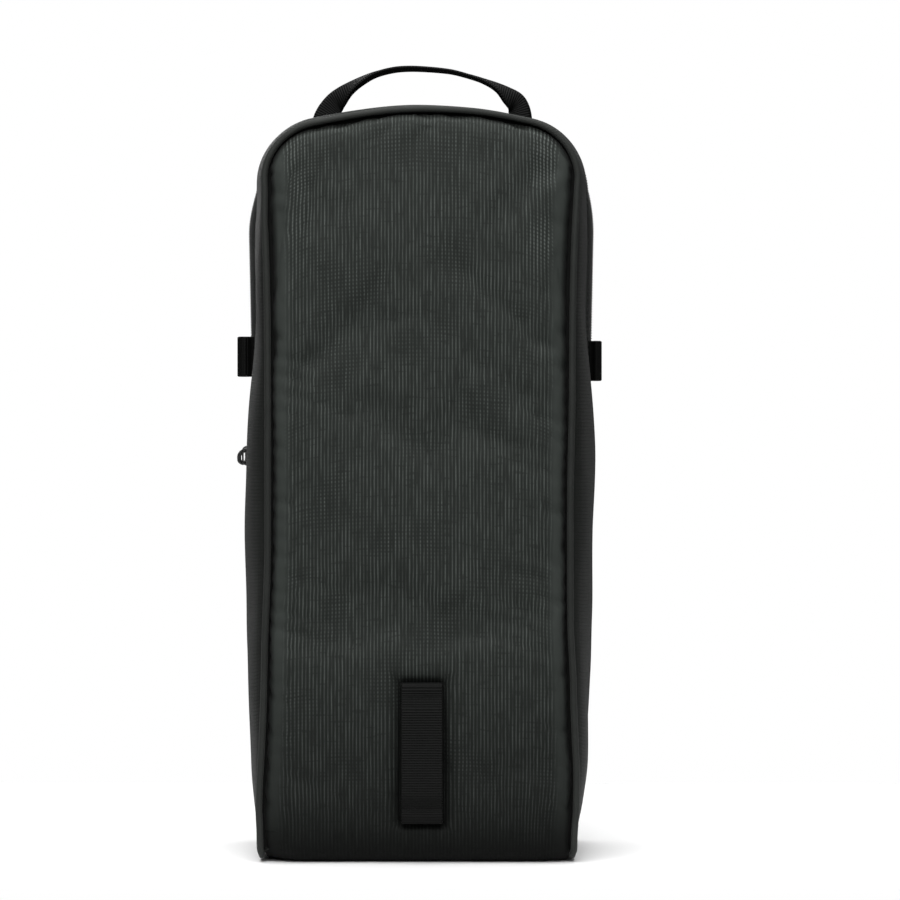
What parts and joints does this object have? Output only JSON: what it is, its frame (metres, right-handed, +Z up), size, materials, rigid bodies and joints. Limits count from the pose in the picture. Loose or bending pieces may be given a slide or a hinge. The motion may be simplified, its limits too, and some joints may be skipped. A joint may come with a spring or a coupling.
{
  "type": "shoe bag",
  "caption": "Upright zipped shoe bag with a piped front panel, top webbing handle, side loops and a front webbing strap.",
  "frame": {"origin": "on the surface the bag stands on, under the middle of its box", "axes": "+Z up, -Y towards the piped front panel, +X to the right seen from the front"},
  "size_m": [0.1925, 0.1319, 0.4017],
  "materials": {
    "outer_cloth": "coated woven polyester with fine ribs, satin",
    "gusset_cloth": "woven polyester, matte",
    "piping_cloth": "woven bias tape over cord, satin",
    "webbing": "ribbed polypropylene webbing",
    "zip_tape": "herringbone woven tape, matte",
    "coil_nylon": "nylon monofilament, satin",
    "cord_braid": "braided polyester cord",
    "lining_cloth": "plain woven lining, matte",
    "foam": "closed-cell foam",
    "board": "polyethylene sheet",
    "enamelled_metal": "black enamelled zinc"
  },
  "bodies": {
    "bag": {"front_panel": "outer_cloth", "front_foam": "foam", "front_lining": "lining_cloth", "back_lower_panel": "outer_cloth", "back_lower_foam": "foam", "back_lower_lining": "lining_cloth", "base_panel": "outer_cloth", "base_board": "board", "side_gusset_left": "gusset_cloth", "side_gusset_right": "gusset_cloth", "front_strip_left": "gusset_cloth", "front_strip_right": "gusset_cloth", "front_strip_top": "gusset_cloth", "zip_tape_front": "zip_tape", "zip_coil_front": "coil_nylon", "zip_end_tab_left": "webbing", "zip_end_tab_right": "webbing", "front_piping": "piping_cloth", "back_piping_lower_left": "piping_cloth", "back_piping_lower_right": "piping_cloth", "side_loop_left": "webbing", "side_loop_right": "webbing", "front_strap": "webbing"},
    "flap": {"back_upper_panel": "outer_cloth", "back_upper_foam": "foam", "back_upper_lining": "lining_cloth", "rear_strip_left": "gusset_cloth", "rear_strip_right": "gusset_cloth", "rear_strip_top": "gusset_cloth", "zip_tape_rear": "zip_tape", "zip_coil_rear": "coil_nylon", "back_piping_upper": "piping_cloth"},
    "slider": {"zip_slider": "enamelled_metal"},
    "pull": {"zip_pull_cord": "cord_braid"},
    "handle": {"handle_webbing": "webbing"}
  },
  "joints": [
    {"name": "flap_open", "type": "hinge", "parent": "bag", "child": "flap", "pos_m": [0, 0.0645, 0.195], "axis": [-1, 0, 0], "range_deg": [0, 115]},
    {"name": "zip_slide", "type": "slide", "parent": "bag", "child": "slider", "axis": [-0.02, 0, 0.9998], "range_m": [0, 0.11]},
    {"name": "pull_swing", "type": "hinge", "parent": "slider", "child": "pull", "pos_m": [-0.09346, 0.04, 0.203], "axis": [0, 0, 1], "range_deg": [0, 110]},
    {"name": "handle_swing", "type": "hinge", "parent": "bag", "child": "handle", "pos_m": [0, -0.013, 0.38], "axis": [1, 0, 0], "range_deg": [-45, 45]}
  ]
}
